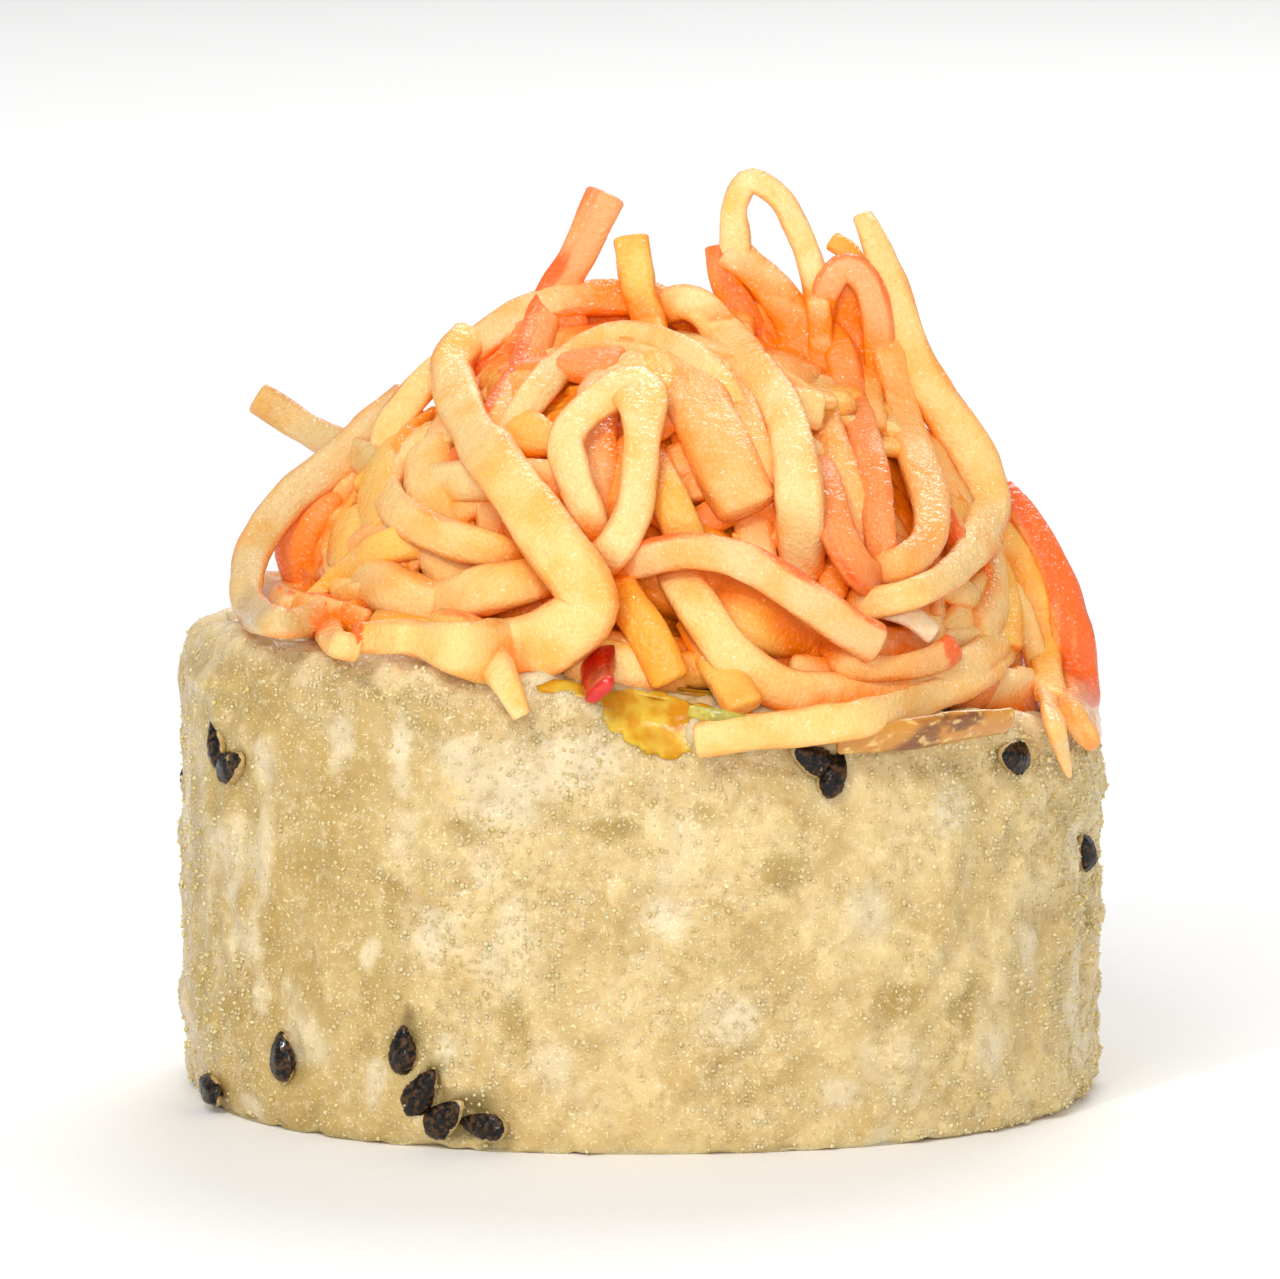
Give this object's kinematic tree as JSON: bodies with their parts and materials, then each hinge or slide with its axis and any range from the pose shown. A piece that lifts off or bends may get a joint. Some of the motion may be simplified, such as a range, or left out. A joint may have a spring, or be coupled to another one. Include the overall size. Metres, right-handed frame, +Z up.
{
  "type": "fried sushi roll slice",
  "caption": "Slice of a fried inside-out sushi roll standing on its cut face, with rice, nori and mixed filling under a heap of shredded crab stick in sauce.",
  "frame": {"origin": "on the surface that the slice stands on, below the middle of its bounding box", "axes": "+Z up along the roll's axis, +X to the right along the roll's longer diameter, -Y towards the side that the picture shows"},
  "size_m": [0.048, 0.0426, 0.0466],
  "materials": {
    "rice_ring": "granular fried batter over rice",
    "nori_sheet": "dry seaweed",
    "filling_avocado": "soft and wet",
    "filling_pepper": "wet",
    "filling_cucumber": "wet",
    "filling_omelette": "wet and layered",
    "crab_heap": "sauce-coated strands"
  },
  "bodies": {
    "root": {"rice_ring": "rice_ring", "nori_sheet": "nori_sheet", "filling_avocado": "filling_avocado", "filling_pepper": "filling_pepper", "filling_cucumber": "filling_cucumber", "filling_omelette": "filling_omelette", "crab_heap": "crab_heap"}
  },
  "joints": []
}
